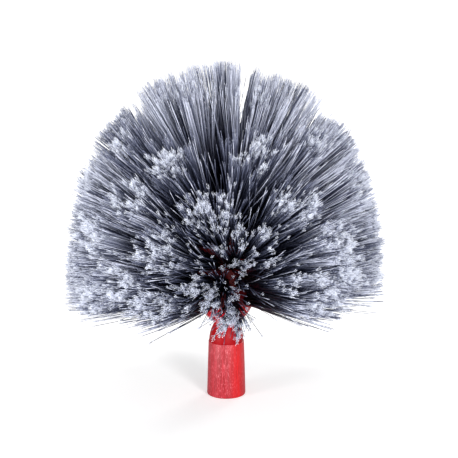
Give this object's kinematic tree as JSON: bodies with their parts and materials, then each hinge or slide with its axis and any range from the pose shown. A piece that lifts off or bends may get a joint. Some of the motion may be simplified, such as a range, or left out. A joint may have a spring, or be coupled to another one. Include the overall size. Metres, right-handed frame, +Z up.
{
  "type": "cobweb brush head",
  "caption": "Globe-shaped cobweb brush head: split-ended bristle tufts fan out from a bulb-shaped block on a narrow neck and a round pole socket.",
  "frame": {"origin": "centre of the socket's mouth, in the plane of its rim", "axes": "+Z up along the pole's axis, from the socket's mouth to the crown of the bristles; -Y faces the viewer"},
  "size_m": [0.2444, 0.2424, 0.2581],
  "materials": {
    "red_plastic": "moulded, satin",
    "bristle": "grey drawn filament with split, frosty white ends",
    "anchor_wire": "bright drawn flat wire"
  },
  "bodies": {
    "root": {"pole_socket": "red_plastic", "block_core": "red_plastic", "lower_bristle_band": "bristle", "bristle_crown": "bristle", "tuft_anchor_01": "anchor_wire", "tuft_anchor_02": "anchor_wire", "tuft_anchor_03": "anchor_wire", "tuft_anchor_04": "anchor_wire", "tuft_anchor_05": "anchor_wire", "tuft_anchor_06": "anchor_wire", "tuft_anchor_07": "anchor_wire", "tuft_anchor_08": "anchor_wire", "tuft_anchor_09": "anchor_wire", "tuft_anchor_10": "anchor_wire", "tuft_anchor_11": "anchor_wire", "tuft_anchor_12": "anchor_wire", "tuft_anchor_13": "anchor_wire", "tuft_anchor_14": "anchor_wire", "tuft_anchor_15": "anchor_wire", "tuft_anchor_16": "anchor_wire", "tuft_anchor_17": "anchor_wire", "tuft_anchor_18": "anchor_wire", "tuft_anchor_19": "anchor_wire", "tuft_anchor_20": "anchor_wire", "tuft_anchor_21": "anchor_wire", "tuft_anchor_22": "anchor_wire", "tuft_anchor_23": "anchor_wire", "tuft_anchor_24": "anchor_wire", "tuft_anchor_25": "anchor_wire", "tuft_anchor_26": "anchor_wire", "tuft_anchor_27": "anchor_wire", "tuft_anchor_28": "anchor_wire", "tuft_anchor_29": "anchor_wire", "tuft_anchor_30": "anchor_wire", "tuft_anchor_31": "anchor_wire", "tuft_anchor_32": "anchor_wire", "tuft_anchor_33": "anchor_wire", "tuft_anchor_34": "anchor_wire", "tuft_anchor_35": "anchor_wire", "tuft_anchor_36": "anchor_wire", "tuft_anchor_37": "anchor_wire", "tuft_anchor_38": "anchor_wire", "tuft_anchor_39": "anchor_wire", "tuft_anchor_40": "anchor_wire", "tuft_anchor_41": "anchor_wire", "tuft_anchor_42": "anchor_wire", "tuft_anchor_43": "anchor_wire", "tuft_anchor_44": "anchor_wire", "tuft_anchor_45": "anchor_wire", "tuft_anchor_46": "anchor_wire", "tuft_anchor_47": "anchor_wire", "tuft_anchor_48": "anchor_wire", "tuft_anchor_49": "anchor_wire", "tuft_anchor_50": "anchor_wire", "tuft_anchor_51": "anchor_wire", "tuft_anchor_52": "anchor_wire", "tuft_anchor_53": "anchor_wire", "tuft_anchor_54": "anchor_wire", "tuft_anchor_55": "anchor_wire", "tuft_anchor_56": "anchor_wire"}
  },
  "joints": []
}
